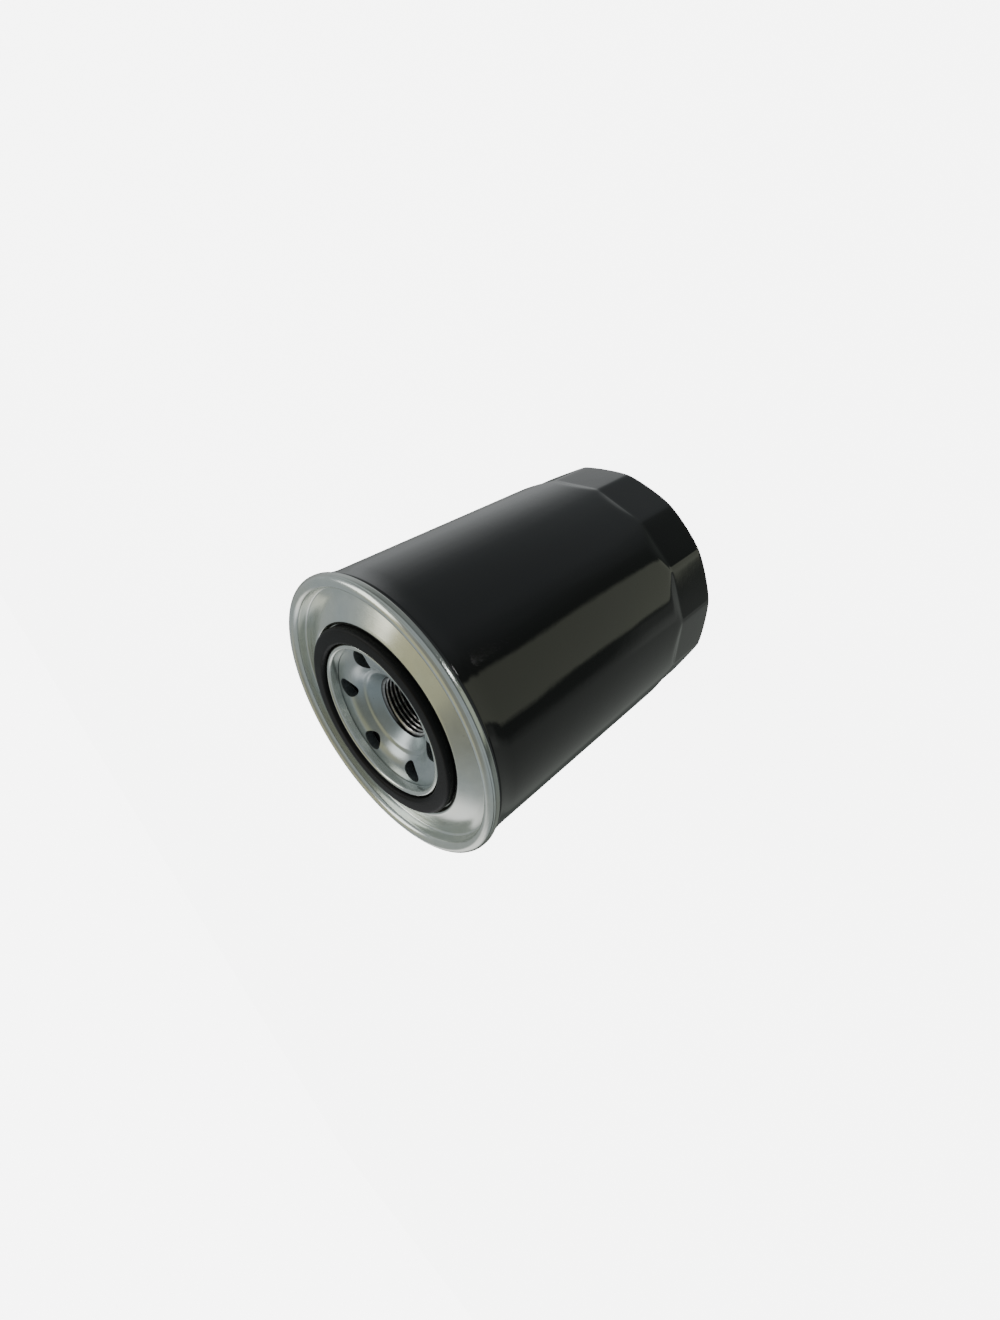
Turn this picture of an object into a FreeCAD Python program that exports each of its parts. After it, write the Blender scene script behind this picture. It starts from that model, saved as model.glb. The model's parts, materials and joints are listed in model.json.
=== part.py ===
import FreeCAD, Part
import os
from math import asin, atan2, cos, degrees, hypot, pi, radians, sin, sqrt, tan

# Spin-on oil filter, in millimetres. It stands on its closed end: +Z runs up the
# thread's axis, Z = 0 is the plane it rests on and X = Y = 0 is the axis.

# Can: a deep-drawn steel cup with a pressed-in end panel.
can_diameter = 93.0
seam_height = 117.0            # rest plane to the middle of the rolled seam
can_sheet = 0.5
corner_radius = 3.0
panel_radius = 31.0
panel_depth = 1.2
panel_bend_radius = 2.0
panel_slope = 30.0             # degrees

# Wrench flats round the closed end.
flat_count = 15
flat_depth = 1.1
flat_length = 20.0
flat_runout = 15.0             # degrees from vertical, where each flat runs out
flat_turn = 8.0                # degrees from +X to the edge between two flats

# Rolled seam: the lid's edge folded round the can's turned-out edge.
seam_overhang = 1.5            # how far the seam stands out past the can's wall
bead_radius = 2.2
fold_radius = 0.9
fold_drop = 0.5
seam_gap = 0.1
shoulder_overhang = 0.8
shoulder_radius = 0.9
flare_radius = 25.0
cover_hook = 0.9
body_hook = 0.7
body_hook_lift = 0.35
sealant_depth = 1.2
sealant_swell = 0.2

# Seaming lid: thin plated sheet with the gasket's groove and a hemmed collar.
lid_sheet = 0.5
channel_depth = 2.4
channel_fillet = 0.8
channel_flat = 0.5
cone_foot_radius = 5.0
lip_radius = 0.8
lip_height = 1.0
groove_fillet = 0.5
collar_radius = 0.95           # outside of the collar's hem
collar_height = 2.1
collar_lean = 11.0             # degrees
collar_gap = 0.15              # between the hem's cut edge and the base plate

# Gasket: a rounded square ring standing proud of its groove.
gasket_radius = 29.55          # middle of its width
gasket_width = 5.3
gasket_height = 3.7
gasket_corner = 1.1
gasket_foot_corner = 0.6
groove_inner_gap = 0.3
groove_outer_gap = 0.6

# Base plate: thick steel, dished at the middle, with a threaded neck.
plate_drop = 1.1               # seam's middle down to the plate's flat
plate_thickness = 3.2
plate_margin = 2.7
plate_edge_radius = 0.6
neck_wall = 3.6
neck_fillet = 4.0
neck_end_radius = 0.8
thread_diameter = 22.0
thread_pitch = 1.5
thread_depth_ratio = 0.5413    # thread depth as a share of its pitch, ISO metric
thread_length = 10.0
mouth_depth = 6.75             # plate's flat down to the thread's mouth
dish_bend_radius = 6.0
dish_slope = 45.0
dish_slope_length = 1.2
step_slope = 18.0
step_length = 0.5
step_bend_radius = 1.5
funnel_slope = 50.0

inlet_count = 6
inlet_diameter = 7.0
inlet_inset = 0.7              # inlet centres, inwards of where the dish begins
inlet_turn = 30.0

weld_count = 6
weld_diameter = 3.6
weld_fit = 0.02

# Anti-drain-back valve: a rubber sleeve on the neck with a flap and a sealing lip.
sleeve_fit = 0.05
sleeve_wall = 2.0
sleeve_flange = 4.3
sleeve_flange_thickness = 1.5
sleeve_top_gap = 0.4
flap_thickness = 1.2
flap_root_lift = 1.5
lip_margin = 1.5               # inlet's edge to the sealing lip
lip_width = 2.4
lip_thickness = 1.6
lip_gap = 0.05
flap_fit = 0.02

# Filter element: pleated paper on a perforated tube between two end caps.
oil_passage = 6.5              # can's outside to the pleats
neck_reach = 3.0               # how far the neck reaches into the element
element_gap = 0.05
cap_sheet = 0.5
cap_margin = 1.0
cap_rim = 5.0
cap_bend_radius = 1.2
cap_bore_gap = 0.8
tube_clearance = 2.9
tube_wall = 0.6
tube_fit = 0.02
tube_hole_diameter = 5.0
tube_hole_columns = 8
tube_hole_rows = 9
adhesive_depth = 2.0
adhesive_margin = 0.3          # from the tube
pleat_count = 48
paper_thickness = 0.6
pleat_inner_fold = 0.55
pleat_outer_fold = 0.9
pleat_gap = 0.6
paper_end_gap = 0.05
clip_sheet = 0.4
clip_depth = 6.0
clip_fit = 0.05

# Bypass valve in the lower end cap.
bypass_port_diameter = 16.0
seat_margin = 0.5
seat_width = 3.0
seat_thickness = 1.0
disc_thickness = 0.8
disc_dome_radius = 3.6
disc_dome_height = 2.0
disc_fit = 0.05
guide_clearance = 0.5
housing_sheet = 0.5
housing_flange = 2.5
housing_height = 16.0
housing_bend_radius = 1.0
housing_rim = 3.0
window_count = 4
window_width = 8.0
window_height = 7.0
window_lift = 4.5
bypass_wire = 1.0
bypass_coil_gap = 0.6
bypass_turns = 5.0
retainer_thickness = 0.6
retainer_fit = 0.1             # to the housing, above it and beside it
retainer_hole_radius = 4.5

# Support spring under the element.
spring_height = 11.0
spring_wire = 2.2
spring_radius = 15.0
spring_turns = 3.5
spring_fit = 0.02
seat_sheet = 0.5
seat_bore_gap = 1.5
seat_rim = 1.6
seat_rim_gap = 0.5
seat_bend_radius = 1.0

cut_overrun = 1.0              # how far a cutting shape reaches past what it cuts
closed_gap = 1e-6              # ends of an outline nearer than this already meet

# Worked out from the sizes above.
can_radius = can_diameter / 2
seam_radius = can_radius + seam_overhang
bead_centre = seam_radius - bead_radius
chuck_radius = bead_centre - bead_radius
fold_centre = seam_radius - fold_radius
fold_z = seam_height - fold_drop
neck_line = fold_centre - fold_radius - seam_gap
shoulder_centre = can_radius + shoulder_overhang - shoulder_radius
shoulder_drop = sqrt((shoulder_radius + fold_radius + seam_gap) ** 2
                     - (fold_centre - shoulder_centre) ** 2)
shoulder_z = fold_z - shoulder_drop
panel_floor = panel_depth + can_sheet

plate_top = seam_height - plate_drop
plate_bottom = plate_top - plate_thickness
groove_floor = plate_top + lid_sheet
groove_inner = gasket_radius - gasket_width / 2 - groove_inner_gap
groove_outer = gasket_radius + gasket_width / 2 + groove_outer_gap
plate_radius = groove_outer + plate_margin

thread_radius = thread_diameter / 2
thread_depth = thread_depth_ratio * thread_pitch
bore_radius = thread_radius - thread_depth
neck_radius = thread_radius + neck_wall
mouth_z = plate_top - mouth_depth
bore_top = mouth_z - thread_depth
bore_bottom = bore_top - thread_length
neck_bottom = bore_bottom - thread_depth

funnel_length = (mouth_depth
                 - dish_bend_radius * (1 - cos(radians(dish_slope)))
                 - dish_slope_length * sin(radians(dish_slope))
                 - step_bend_radius * (cos(radians(step_slope)) - cos(radians(dish_slope)))
                 - step_length * sin(radians(step_slope))
                 - step_bend_radius * (cos(radians(step_slope)) - cos(radians(funnel_slope)))
                 ) / sin(radians(funnel_slope))
dish_width = (dish_bend_radius * sin(radians(dish_slope))
              + dish_slope_length * cos(radians(dish_slope))
              + step_bend_radius * (sin(radians(dish_slope)) - sin(radians(step_slope)))
              + step_length * cos(radians(step_slope))
              + step_bend_radius * (sin(radians(funnel_slope)) - sin(radians(step_slope)))
              + funnel_length * cos(radians(funnel_slope)))
dish_radius = thread_radius + dish_width
inlet_ring = dish_radius - inlet_inset
inlet_radius = inlet_diameter / 2

cap_top = neck_bottom + neck_reach
upper_face = cap_top - cap_sheet
lower_face = panel_floor + spring_height + seat_sheet + cap_sheet
cap_bottom = lower_face - cap_sheet
pleat_radius = can_radius - oil_passage
cap_radius = pleat_radius + cap_margin
tube_radius = neck_radius + tube_clearance
tube_outer = tube_radius + tube_wall
pleat_bore = tube_outer + pleat_gap
paper_bottom = lower_face + adhesive_depth
paper_top = upper_face - adhesive_depth

sleeve_inner = neck_radius + sleeve_fit
sleeve_outer = sleeve_inner + sleeve_wall
sleeve_bottom = cap_top + element_gap
flap_root_z = sleeve_bottom + sleeve_flange_thickness + flap_root_lift
lip_inner = inlet_ring + inlet_radius + lip_margin
lip_top = plate_bottom - lip_gap
lip_bottom = lip_top - lip_thickness

port_radius = bypass_port_diameter / 2
seat_inner = port_radius + seat_margin
seat_outer = seat_inner + seat_width
seat_top = lower_face + seat_thickness
disc_bottom = seat_top + disc_fit
disc_top = disc_bottom + disc_thickness
disc_radius = seat_outer
housing_bore = disc_radius + guide_clearance
housing_top = lower_face + housing_height
retainer_top = housing_top - housing_sheet - retainer_fit
retainer_bottom = retainer_top - retainer_thickness


def point(radius, z):
    return FreeCAD.Vector(radius, 0, z)


def trace(start, heading, moves):
    """Edges of a path in the XZ plane, drawn by moving and turning.

    A move is ("line", length), ("turn", radius, degrees) for an arc, or
    ("pivot", degrees) for a sharp corner. Positive degrees turn left.
    """
    edges = []
    x, z = start
    angle = radians(heading)
    for move in moves:
        if move[0] == "pivot":
            angle += radians(move[1])
            continue
        if move[0] == "line":
            end_x = x + move[1] * cos(angle)
            end_z = z + move[1] * sin(angle)
            edges.append(Part.LineSegment(point(x, z), point(end_x, end_z)).toShape())
            x, z = end_x, end_z
            continue
        radius = move[1]
        sweep = radians(move[2])
        side = 1 if sweep > 0 else -1
        centre_x = x - side * radius * sin(angle)
        centre_z = z + side * radius * cos(angle)
        stops = []
        for share in (0.5, 1.0):
            turned = angle + share * sweep
            stops.append((centre_x + side * radius * sin(turned),
                          centre_z - side * radius * cos(turned)))
        edges.append(Part.Arc(point(x, z), point(*stops[0]), point(*stops[1])).toShape())
        x, z = stops[1]
        angle += sweep
    return edges, (x, z)


def revolved(edges):
    wire = Part.Wire(Part.__sortEdges__(edges))
    turned = Part.Face(wire).revolve(FreeCAD.Vector(0, 0, 0), FreeCAD.Vector(0, 0, 1), 360)
    return Part.makeSolid(turned.Shells[0]) if turned.ShapeType != "Solid" else turned


def turned_solid(start, heading, moves):
    """A solid of revolution whose outline closes with a straight line."""
    edges, end = trace(start, heading, moves)
    if hypot(end[0] - start[0], end[1] - start[1]) > closed_gap:
        edges.append(Part.LineSegment(point(*end), point(*start)).toShape())
    return revolved(edges)


def turned_sheet(start, heading, moves, thickness):
    """A bent sheet of revolution. The path is one face of the sheet, and the
    sheet lies to its right, or to its left when thickness is negative."""
    edges, end = trace(start, heading, moves)
    angle = radians(heading)
    far_start = (start[0] + thickness * sin(angle), start[1] - thickness * cos(angle))
    far_moves = []
    for move in moves:
        if move[0] == "turn":
            side = 1 if move[2] > 0 else -1
            far_moves.append(("turn", move[1] + side * thickness, move[2]))
        else:
            far_moves.append(move)
    far_edges, far_end = trace(far_start, heading, far_moves)
    edges += far_edges
    edges.append(Part.LineSegment(point(*start), point(*far_start)).toShape())
    edges.append(Part.LineSegment(point(*end), point(*far_end)).toShape())
    return revolved(edges)


def ring(inner, outer, bottom, top):
    moves = [("line", outer - inner), ("pivot", 90), ("line", top - bottom), ("pivot", 90),
             ("line", outer - inner)]
    return turned_solid((inner, bottom), 0, moves)


def around(shape, count, first_angle):
    """Copies of a shape, evenly spaced about the axis."""
    copies = []
    for index in range(count):
        copy = shape.copy()
        copy.rotate(FreeCAD.Vector(0, 0, 0), FreeCAD.Vector(0, 0, 1), first_angle + index * 360 / count)
        copies.append(copy)
    return copies


def posts(count, ring_radius, radius, bottom, top, first_angle):
    """Upright round cutters or plugs on a ring."""
    post = Part.makeCylinder(radius, top - bottom, FreeCAD.Vector(ring_radius, 0, bottom))
    return around(post, count, first_angle)


def flat_cutters(inset, height):
    """What lies outside the wrench flats, with the flats moved in by inset."""
    apothem = can_radius - flat_depth - inset
    reach = flat_depth + inset + cut_overrun
    half_width = can_radius * tan(pi / flat_count) + cut_overrun
    corners = [(apothem, -cut_overrun),
               (apothem, height),
               (apothem + reach, height + reach / tan(radians(flat_runout))),
               (apothem + reach, -cut_overrun)]
    points = [FreeCAD.Vector(x, -half_width, z) for x, z in corners]
    face = Part.Face(Part.makePolygon(points + points[:1]))
    cutter = face.extrude(FreeCAD.Vector(0, 2 * half_width, 0))
    return around(cutter, flat_count, flat_turn + 180 / flat_count)


def cup_solid(inset, top):
    """The can's lower part as a full solid, moved in from its outside by inset."""
    slope = radians(panel_slope)
    bend_drop = 2 * panel_bend_radius * (1 - cos(slope))
    straight = (panel_depth - bend_drop) / sin(slope)
    panel_width = 2 * panel_bend_radius * sin(slope) + straight * cos(slope)
    moves = [("line", panel_radius),
             ("turn", panel_bend_radius + inset, -panel_slope),
             ("line", straight),
             ("turn", panel_bend_radius - inset, panel_slope),
             ("line", can_radius - corner_radius - panel_radius - panel_width),
             ("turn", corner_radius - inset, 90),
             ("line", top - corner_radius),
             ("pivot", 90),
             ("line", can_radius - inset)]
    return turned_solid((0, panel_depth + inset), 0, moves)


def make_can():
    join = seam_height / 2
    outside = cup_solid(0, join).cut(flat_cutters(0, flat_length))
    inside = cup_solid(can_sheet, join).cut(flat_cutters(can_sheet, flat_length))
    cup = outside.cut(inside)

    flare_centre = can_radius + flare_radius
    reach = flare_radius + shoulder_radius
    rise = sqrt(reach ** 2 - (flare_centre - shoulder_centre) ** 2)
    flare_angle = degrees(asin(rise / reach))
    fold_angle = degrees(atan2(fold_centre - shoulder_centre, fold_z - shoulder_z))
    hook_bend = (lid_sheet + 2 * seam_gap) / 2
    moves = [("line", shoulder_z - rise - join),
             ("turn", flare_radius, -flare_angle),
             ("turn", shoulder_radius, 180 + flare_angle - 90 - fold_angle),
             ("turn", fold_radius + seam_gap, fold_angle - 90),
             ("line", fold_drop + body_hook_lift),
             ("turn", hook_bend, -180),
             ("line", body_hook)]
    mouth = turned_sheet((can_radius, join), 90, moves, -can_sheet)
    return cup.fuse(mouth).removeSplitter()


def make_seaming_lid():
    lip_centre = (groove_outer + lip_radius, seam_height + lip_height - lip_radius)
    channel_floor = seam_height - channel_depth
    foot_centre = (chuck_radius - channel_fillet - channel_flat, channel_floor + cone_foot_radius)
    gap_x = foot_centre[0] - lip_centre[0]
    gap_z = foot_centre[1] - lip_centre[1]
    gap = hypot(gap_x, gap_z)
    cone_slope = asin((lip_radius + cone_foot_radius) / gap) - atan2(gap_z, gap_x)
    cone_length = gap_x * cos(cone_slope) - gap_z * sin(cone_slope)
    cone_degrees = degrees(cone_slope)

    lean = radians(collar_lean)
    hem_centre = (groove_inner - collar_radius, seam_height + collar_height - collar_radius)
    hem_start = (hem_centre[0] - collar_radius * cos(lean), hem_centre[1] + collar_radius * sin(lean))
    inner_wall = (hem_start[1] - plate_top - collar_gap) / cos(lean)
    start = (hem_start[0] - inner_wall * sin(lean), plate_top + collar_gap)
    moves = [("line", inner_wall),
             ("turn", collar_radius, collar_lean - 180),
             ("line", hem_centre[1] - groove_floor - groove_fillet),
             ("turn", groove_fillet, 90),
             ("line", groove_outer - groove_inner - 2 * groove_fillet),
             ("turn", groove_fillet, 90),
             ("line", lip_centre[1] - groove_floor - groove_fillet),
             ("turn", lip_radius, -90 - cone_degrees),
             ("line", cone_length),
             ("turn", cone_foot_radius, cone_degrees),
             ("line", channel_flat),
             ("turn", channel_fillet, 90),
             ("line", channel_depth - channel_fillet),
             ("turn", bead_radius, -180),
             ("line", fold_drop),
             ("turn", fold_radius, -180),
             ("line", cover_hook)]
    lid = turned_sheet(start, 90 - collar_lean, moves, lid_sheet)
    return lid.cut(weld_posts(weld_diameter / 2))


def weld_posts(radius):
    return posts(weld_count, gasket_radius, radius, plate_top, groove_floor, 0)


def make_spot_welds():
    return Part.makeCompound(weld_posts(weld_diameter / 2 - weld_fit))


def make_seam_sealant():
    """Sealing compound in the seam, between the lid's wall and the can's edge."""
    inner = chuck_radius + lid_sheet + seam_gap / 2
    outer = neck_line - can_sheet
    width = outer - inner
    swell_radius = (width ** 2 / 4 + sealant_swell ** 2) / (2 * sealant_swell)
    swell_angle = degrees(2 * asin(width / 2 / swell_radius))
    height = sealant_depth + body_hook_lift
    moves = [("pivot", -swell_angle / 2),
             ("turn", swell_radius, swell_angle),
             ("pivot", 90 - swell_angle / 2),
             ("line", height),
             ("pivot", 90 - swell_angle / 2),
             ("turn", swell_radius, swell_angle)]
    return turned_solid((inner, seam_height - sealant_depth), 0, moves)


def make_gasket():
    inner = gasket_radius - gasket_width / 2
    foot = gasket_foot_corner
    corner = gasket_corner
    side = gasket_height - foot - corner
    moves = [("line", gasket_width - 2 * foot), ("turn", foot, 90), ("line", side),
             ("turn", corner, 90), ("line", gasket_width - 2 * corner),
             ("turn", corner, 90), ("line", side), ("turn", foot, 90)]
    return turned_solid((inner + foot, groove_floor), 0, moves)


def make_base_plate():
    wall = plate_thickness - 2 * plate_edge_radius
    moves = [("pivot", -45),
             ("line", thread_depth * sqrt(2)),
             ("pivot", funnel_slope - 45),
             ("line", funnel_length),
             ("turn", step_bend_radius, step_slope - funnel_slope),
             ("line", step_length),
             ("turn", step_bend_radius, dish_slope - step_slope),
             ("line", dish_slope_length),
             ("turn", dish_bend_radius, -dish_slope),
             ("line", plate_radius - plate_edge_radius - dish_radius),
             ("turn", plate_edge_radius, -90),
             ("line", wall),
             ("turn", plate_edge_radius, -90),
             ("line", plate_radius - plate_edge_radius - neck_radius - neck_fillet),
             ("turn", neck_fillet, 90),
             ("line", plate_bottom - neck_fillet - neck_bottom - neck_end_radius),
             ("turn", neck_end_radius, -90),
             ("line", neck_radius - neck_end_radius - bore_radius - thread_depth),
             ("pivot", -45),
             ("line", thread_depth * sqrt(2))]
    plate = turned_solid((bore_radius, bore_top), 90, moves)
    return plate.cut(posts(inlet_count, inlet_ring, inlet_radius, neck_bottom, seam_height, inlet_turn))


def flap_ends():
    """Where the flap leaves the sleeve and where it meets the sealing lip."""
    root = (sleeve_outer + flap_fit, flap_root_z)
    tip = (lip_inner - flap_fit, (lip_top + lip_bottom) / 2)
    return root, tip


def make_drain_valve_sleeve():
    flange_wall = sleeve_flange - sleeve_wall
    top = plate_bottom - neck_fillet - sleeve_top_gap
    height = top - sleeve_bottom
    moves = [("line", sleeve_flange), ("pivot", 90), ("line", sleeve_flange_thickness), ("pivot", 90),
             ("line", flange_wall), ("pivot", -90), ("line", height - sleeve_flange_thickness), ("pivot", 90),
             ("line", sleeve_wall)]
    return turned_solid((sleeve_inner, sleeve_bottom), 0, moves)


def make_drain_valve_flap():
    root, tip = flap_ends()
    half = flap_thickness / 2
    corners = [(root[0], root[1] - half), (tip[0], tip[1] - half),
               (tip[0], tip[1] + half), (root[0], root[1] + half)]
    points = [point(*corner) for corner in corners]
    return Part.Face(Part.makePolygon(points + points[:1])).revolve(
        FreeCAD.Vector(0, 0, 0), FreeCAD.Vector(0, 0, 1), 360)


def make_drain_valve_lip():
    corner = lip_thickness / 2
    straight = lip_width - corner
    moves = [("line", straight), ("turn", corner, 180), ("line", straight)]
    return turned_solid((lip_inner, lip_bottom), 0, moves)


def end_cap(bore):
    """An end cap's sheet with its rim turned up, its flat face at Z = 0."""
    flat = cap_radius - cap_bend_radius - bore
    moves = [("line", flat), ("turn", cap_bend_radius, 90), ("line", cap_rim - cap_bend_radius)]
    return turned_sheet((bore, 0), 0, moves, -cap_sheet)


def make_upper_end_cap():
    cap = end_cap(neck_radius + cap_bore_gap)
    cap.rotate(FreeCAD.Vector(0, 0, 0), FreeCAD.Vector(1, 0, 0), 180)
    cap.translate(FreeCAD.Vector(0, 0, cap_top))
    return cap


def make_lower_end_cap():
    cap = end_cap(port_radius)
    cap.translate(FreeCAD.Vector(0, 0, cap_bottom))
    return cap


def make_centre_tube():
    tube = ring(tube_radius, tube_outer, lower_face + tube_fit, upper_face - tube_fit)
    height = upper_face - lower_face
    pitch = height / (tube_hole_rows + 1)
    drills = []
    for row in range(tube_hole_rows):
        centre = FreeCAD.Vector(0, 0, lower_face + (row + 1) * pitch)
        drill = Part.makeCylinder(tube_hole_diameter / 2, tube_outer + cut_overrun, centre,
                                  FreeCAD.Vector(1, 0, 0))
        drills += around(drill, tube_hole_columns, (row % 2) * 180 / tube_hole_columns)
    return tube.cut(drills)


def adhesive(bottom):
    return ring(tube_outer + adhesive_margin, cap_radius - cap_bend_radius, bottom, bottom + adhesive_depth)


def make_upper_adhesive():
    return adhesive(paper_top)


def make_lower_adhesive():
    return adhesive(lower_face)


def fold_arc(centre_radius, angle, outward, radius, half_sweep):
    """An arc of a pleat's fold: its start, middle and end, going anticlockwise round the ring."""
    stops = []
    for share in (-1, 0, 1):
        turn = share * half_sweep
        local = FreeCAD.Vector(centre_radius + outward * radius * cos(turn), radius * sin(turn), 0)
        stops.append(FreeCAD.Rotation(FreeCAD.Vector(0, 0, 1), degrees(angle)).multVec(local))
    return stops


def pleat_side(shift):
    """One face of the paper as a list of lines and arcs, moved outwards by shift."""
    step = 2 * pi / pleat_count
    inner_fold = pleat_inner_fold - shift
    outer_fold = pleat_outer_fold + shift
    inner_centre = pleat_bore + paper_thickness / 2 + pleat_inner_fold
    outer_centre = pleat_radius - paper_thickness / 2 - pleat_outer_fold
    span_x = outer_centre * cos(step / 2) - inner_centre
    span_y = outer_centre * sin(step / 2)
    lean = atan2(span_y, span_x) - asin((pleat_inner_fold + pleat_outer_fold) / hypot(span_x, span_y))
    inner_sweep = pi / 2 - lean
    outer_sweep = pi / 2 + step / 2 - lean
    stops = []
    for index in range(pleat_count):
        angle = (index + 0.5) * step
        stops.append(fold_arc(inner_centre, angle, -1, inner_fold, inner_sweep))
        if index < pleat_count - 1:
            stops.append(fold_arc(outer_centre, angle + step / 2, 1, outer_fold, outer_sweep))
    return stops


def paper_end(shift):
    """Where a face of the paper's first end stops, inside the seam clip."""
    offset = paper_thickness if shift > 0 else 0
    return FreeCAD.Vector(pleat_radius - clip_sheet - clip_fit, paper_end_gap / 2 + offset, 0)


def make_pleated_paper():
    """One long strip of paper, folded into pleats, its two ends side by side at +X."""
    half = paper_thickness / 2
    edges = []
    ends = []
    for shift in (half, -half):
        stops = pleat_side(shift)
        for first, middle, last in stops:
            edges.append(Part.Arc(first, middle, last).toShape())
        for before, after in zip(stops, stops[1:]):
            edges.append(Part.LineSegment(before[2], after[0]).toShape())
        first_end = paper_end(shift)
        last_end = FreeCAD.Vector(first_end.x, -first_end.y, 0)
        for stop, end in ((stops[0][0], first_end), (stops[-1][2], last_end)):
            edges.append(Part.LineSegment(stop, end).toShape())
            ends.append(end)
    edges.append(Part.LineSegment(ends[0], ends[2]).toShape())
    edges.append(Part.LineSegment(ends[1], ends[3]).toShape())
    outline = Part.Face(Part.Wire(Part.__sortEdges__(edges)))
    paper = outline.extrude(FreeCAD.Vector(0, 0, paper_top - paper_bottom))
    paper.translate(FreeCAD.Vector(0, 0, paper_bottom))
    return paper


def make_paper_seam_clip():
    """A folded strip that grips the paper's two ends at +X, each side lying along its end."""
    leg = pleat_side(paper_thickness / 2)[0][0]
    end = paper_end(paper_thickness / 2)
    spread = clip_depth * (leg.y - end.y) / (end.x - leg.x)
    tip = end.y + clip_fit
    root_x = pleat_radius - clip_depth
    tip_x = pleat_radius - clip_sheet
    outline = [(root_x, tip + spread), (tip_x, tip), (tip_x, -tip), (root_x, -tip - spread),
               (root_x, -tip - spread - clip_sheet), (pleat_radius, -tip - clip_sheet),
               (pleat_radius, tip + clip_sheet), (root_x, tip + spread + clip_sheet)]
    points = [FreeCAD.Vector(x, y, paper_bottom) for x, y in outline]
    end_face = Part.Face(Part.makePolygon(points + points[:1]))
    return end_face.extrude(FreeCAD.Vector(0, 0, paper_top - paper_bottom))


def make_bypass_housing():
    """A cup over the port with a flange, four windows and a rim turned in at its top."""
    outer = housing_bore + housing_sheet
    bend = housing_bend_radius
    moves = [("line", housing_flange - bend),
             ("turn", bend, -90),
             ("line", housing_height - bend - housing_sheet - bend),
             ("turn", bend, 90),
             ("line", housing_rim)]
    start = (outer + housing_flange, lower_face + housing_sheet)
    cup = turned_sheet(start, 180, moves, -housing_sheet)
    window = Part.makeBox(outer + cut_overrun, window_width, window_height,
                          FreeCAD.Vector(0, -window_width / 2, lower_face + window_lift))
    return cup.cut(around(window, window_count, 180 / window_count))


def make_bypass_seat_gasket():
    return ring(seat_inner, seat_outer, lower_face, seat_top)


def make_bypass_disc():
    """A flat valve disc with a raised boss that centres its spring."""
    dome = disc_dome_radius
    moves = [("line", disc_radius), ("pivot", 90), ("line", disc_thickness), ("pivot", 90),
             ("line", disc_radius - dome), ("pivot", -90), ("line", disc_dome_height), ("pivot", 90),
             ("line", dome)]
    return turned_solid((0, disc_bottom), 0, moves)


def coil_spring(radius, wire_diameter, turns, bottom, top):
    """A compression spring with open ends."""
    height = top - bottom - wire_diameter
    helix = Part.makeHelix(height / turns, height, radius)
    wire_end = Part.makeCircle(wire_diameter / 2, FreeCAD.Vector(radius, 0, 0), FreeCAD.Vector(0, 1, 0))
    coil = Part.Wire(helix).makePipeShell([Part.Wire(wire_end)], True, True)
    coil.translate(FreeCAD.Vector(0, 0, bottom + wire_diameter / 2))
    return coil


def make_bypass_spring():
    radius = disc_dome_radius + bypass_coil_gap + bypass_wire / 2
    bottom = disc_top + spring_fit
    return coil_spring(radius, bypass_wire, bypass_turns, bottom, retainer_bottom - spring_fit)


def make_bypass_retainer():
    outer = housing_bore - housing_bend_radius + housing_sheet - retainer_fit
    return ring(retainer_hole_radius, outer, retainer_bottom, retainer_top)


def make_support_spring():
    top = cap_bottom - seat_sheet - spring_fit
    return coil_spring(spring_radius, spring_wire, spring_turns, panel_floor + spring_fit, top)


def make_spring_seat():
    """A washer with a rim turned down round the support spring's top coil."""
    rim_inner = spring_radius + spring_wire / 2 + seat_rim_gap
    bend = seat_bend_radius
    bore = port_radius + seat_bore_gap
    moves = [("line", rim_inner + seat_sheet - bend - bore), ("turn", bend, -90), ("line", seat_rim)]
    return turned_sheet((bore, cap_bottom), 0, moves, seat_sheet)


NODES = {
    "can": make_can,
    "seaming_lid": make_seaming_lid,
    "base_plate": make_base_plate,
    "gasket": make_gasket,
    "seam_sealant": make_seam_sealant,
    "spot_welds": make_spot_welds,
    "drain_valve_sleeve": make_drain_valve_sleeve,
    "drain_valve_flap": make_drain_valve_flap,
    "drain_valve_lip": make_drain_valve_lip,
    "upper_end_cap": make_upper_end_cap,
    "lower_end_cap": make_lower_end_cap,
    "centre_tube": make_centre_tube,
    "pleated_paper": make_pleated_paper,
    "paper_seam_clip": make_paper_seam_clip,
    "upper_adhesive": make_upper_adhesive,
    "lower_adhesive": make_lower_adhesive,
    "bypass_housing": make_bypass_housing,
    "bypass_seat_gasket": make_bypass_seat_gasket,
    "bypass_disc": make_bypass_disc,
    "bypass_spring": make_bypass_spring,
    "bypass_retainer": make_bypass_retainer,
    "spring_seat": make_spring_seat,
    "support_spring": make_support_spring,
}


def main():
    os.makedirs("parts", exist_ok=True)
    for name, make in NODES.items():
        shape = make()
        print(name, shape.isValid(), len(shape.Solids), round(shape.Volume, 1))
        shape.exportStep("parts/" + name + ".step")


main()
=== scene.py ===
import json
import bpy
import numpy as np
from math import asin, atan2, cos, degrees, hypot, pi, radians, sin, sqrt, tan
from mathutils import Matrix, Vector


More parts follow.
